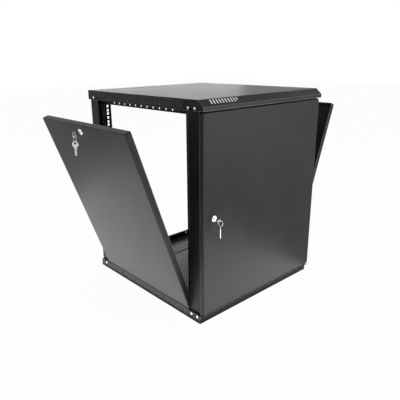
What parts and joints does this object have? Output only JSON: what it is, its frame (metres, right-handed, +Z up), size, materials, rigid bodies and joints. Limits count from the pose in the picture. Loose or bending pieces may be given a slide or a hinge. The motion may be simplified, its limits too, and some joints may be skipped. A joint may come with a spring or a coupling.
{
  "type": "wall_mount_network_cabinet",
  "caption": "Black wall mount network cabinet with a key-locked steel front door, slotted roof and base pans, and tilt-out side panels",
  "frame": {"origin": "middle of the base's underside", "axes": "+X to the cabinet's right, +Y from the door to the wall, +Z up"},
  "size_m": [1.0868, 0.6839, 0.742],
  "materials": {
    "powder_coat": "fine satin black powder coat on the folded sheets",
    "frame_coat": "satin black powder coat on posts and rails",
    "zinc_steel": "bright zinc plated steel",
    "lock_chrome": "polished chrome plate on the lock's rim and plug",
    "key_nickel": "nickel plated brass keys and steel ring"
  },
  "bodies": {
    "cabinet": {"base_pan": "powder_coat", "bottom_depth_rail_left": "frame_coat", "bottom_depth_rail_right": "frame_coat", "cable_entry_cover": "frame_coat", "case_screws": "zinc_steel", "door_hinge_bracket_bottom": "frame_coat", "door_hinge_bracket_top": "frame_coat", "earth_stud_cabinet": "zinc_steel", "front_bottom_rail": "frame_coat", "front_post_left": "frame_coat", "front_post_right": "frame_coat", "front_rack_rail_left": "frame_coat", "front_rack_rail_right": "frame_coat", "front_top_rail": "frame_coat", "rack_rail_bolts": "zinc_steel", "rack_rail_brackets": "frame_coat", "rear_post_left": "frame_coat", "rear_post_right": "frame_coat", "rear_rack_rail_left": "frame_coat", "rear_rack_rail_right": "frame_coat", "roof_pan": "powder_coat", "top_depth_rail_left": "frame_coat", "top_depth_rail_right": "frame_coat", "wall_rail_bottom": "frame_coat", "wall_rail_top": "frame_coat"},
    "door": {"door_hinge_pin_bottom": "zinc_steel", "door_hinge_pin_top": "zinc_steel", "door_lock_body": "lock_chrome", "door_lock_nut": "zinc_steel", "door_panel": "powder_coat", "door_stiffener_left": "frame_coat", "door_stiffener_right": "frame_coat", "earth_stud_door": "zinc_steel"},
    "door_lock": {"door_key": "key_nickel", "door_lock_cam": "zinc_steel", "door_lock_plug": "lock_chrome"},
    "door_keys": {"door_key_ring": "key_nickel", "door_spare_key": "key_nickel"},
    "left_panel_body": {"left_lock_body": "lock_chrome", "left_lock_nut": "zinc_steel", "left_panel": "powder_coat", "left_panel_pins": "zinc_steel"},
    "left_lock": {"left_key": "key_nickel", "left_lock_cam": "zinc_steel", "left_lock_plug": "lock_chrome"},
    "left_keys": {"left_key_ring": "key_nickel", "left_spare_key": "key_nickel"},
    "right_panel_body": {"right_lock_body": "lock_chrome", "right_lock_nut": "zinc_steel", "right_panel": "powder_coat", "right_panel_pins": "zinc_steel"},
    "right_lock": {"right_key": "key_nickel", "right_lock_cam": "zinc_steel", "right_lock_plug": "lock_chrome"},
    "right_keys": {"right_key_ring": "key_nickel", "right_spare_key": "key_nickel"}
  },
  "joints": [
    {"name": "door_hinge", "type": "hinge", "parent": "cabinet", "child": "door", "pos_m": [0.292, -0.314, 0.36], "axis": [0, 0, 1], "range_deg": [0, 180]},
    {"name": "door_lock_turn", "type": "hinge", "parent": "door", "child": "door_lock", "pos_m": [-0.249, -0.319, 0.371], "axis": [0, -1, 0], "range_deg": [0, 90]},
    {"name": "door_keys_swing", "type": "hinge", "parent": "door_lock", "child": "door_keys", "pos_m": [-0.249, -0.348, 0.3733], "axis": [0, 1, 0], "range_deg": [-15, 15]},
    {"name": "left_panel_tilt", "type": "hinge", "parent": "cabinet", "child": "left_panel_body", "pos_m": [-0.287, 0, 0.0203], "axis": [0, 1, 0], "range_deg": [0, 19.37]},
    {"name": "left_lock_turn", "type": "hinge", "parent": "left_panel_body", "child": "left_lock", "pos_m": [-0.51274, 0.00945, 0.64128], "axis": [-0.9434, 0, -0.3317], "range_deg": [0, 90]},
    {"name": "left_keys_swing", "type": "hinge", "parent": "left_lock", "child": "left_keys", "pos_m": [-0.53514, 0.00945, 0.63045], "axis": [0, 1, 0], "range_deg": [-30, 40]},
    {"name": "right_panel_tilt", "type": "hinge", "parent": "cabinet", "child": "right_panel_body", "pos_m": [0.287, 0, 0.0203], "axis": [0, -1, 0], "range_deg": [0, 19.37]},
    {"name": "right_lock_turn", "type": "hinge", "parent": "right_panel_body", "child": "right_lock", "pos_m": [0.51274, 0.00945, 0.64128], "axis": [0.9434, 0, -0.3317], "range_deg": [0, 90]},
    {"name": "right_keys_swing", "type": "hinge", "parent": "right_lock", "child": "right_keys", "pos_m": [0.53514, 0.00945, 0.63045], "axis": [0, 1, 0], "range_deg": [-40, 30]}
  ]
}
